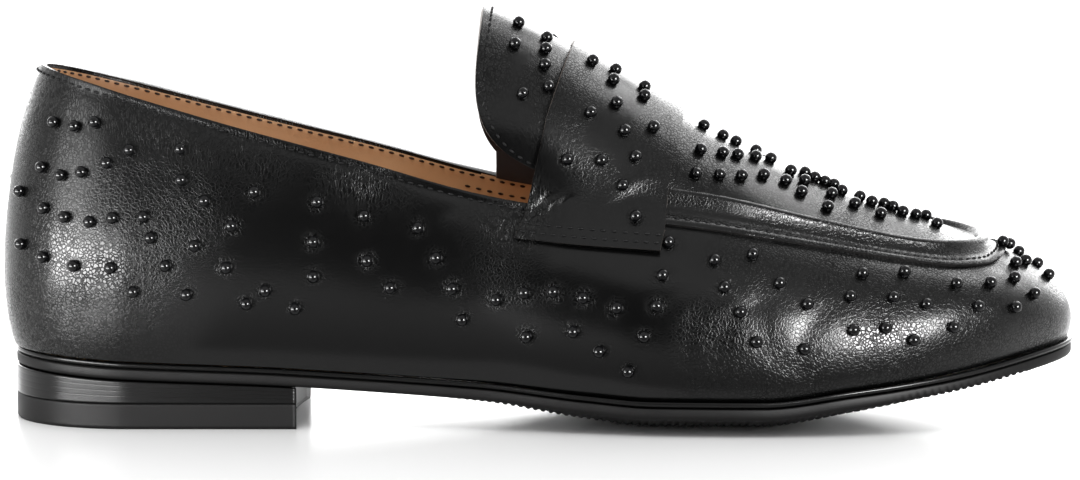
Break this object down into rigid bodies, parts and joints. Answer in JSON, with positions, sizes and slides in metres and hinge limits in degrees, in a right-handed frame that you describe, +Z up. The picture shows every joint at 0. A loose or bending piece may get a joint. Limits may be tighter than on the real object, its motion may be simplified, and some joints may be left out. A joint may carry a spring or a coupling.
{
  "type": "women's penny loafer",
  "caption": "Right slip-on loafer in black leather: raised apron vamp, saddle strap, tall rounded tongue, thin sole and low stacked heel, open at the collar for the foot.",
  "frame": {"origin": "on the floor, under the middle of the shoe's length and width", "axes": "+X from heel to toe, +Y to the inner (medial) side of a right foot, +Z up from the floor"},
  "size_m": [0.2596, 0.0892, 0.0992],
  "materials": {
    "top_lift": "matt black rubber",
    "heel": "stacked leather, inked black and waxed",
    "outsole": "matt black rubber",
    "midsole": "black edge, satin",
    "insole": "tan leather, matt",
    "upper": "black crackled leather, glossy",
    "apron": "black crackled leather, glossy",
    "tongue": "black crackled leather, glossy",
    "strap": "black crackled leather, glossy"
  },
  "bodies": {
    "root": {"top_lift": "top_lift", "heel": "heel", "outsole": "outsole", "midsole": "midsole", "insole": "insole", "upper": "upper", "apron": "apron", "tongue": "tongue", "strap": "strap"}
  },
  "joints": []
}
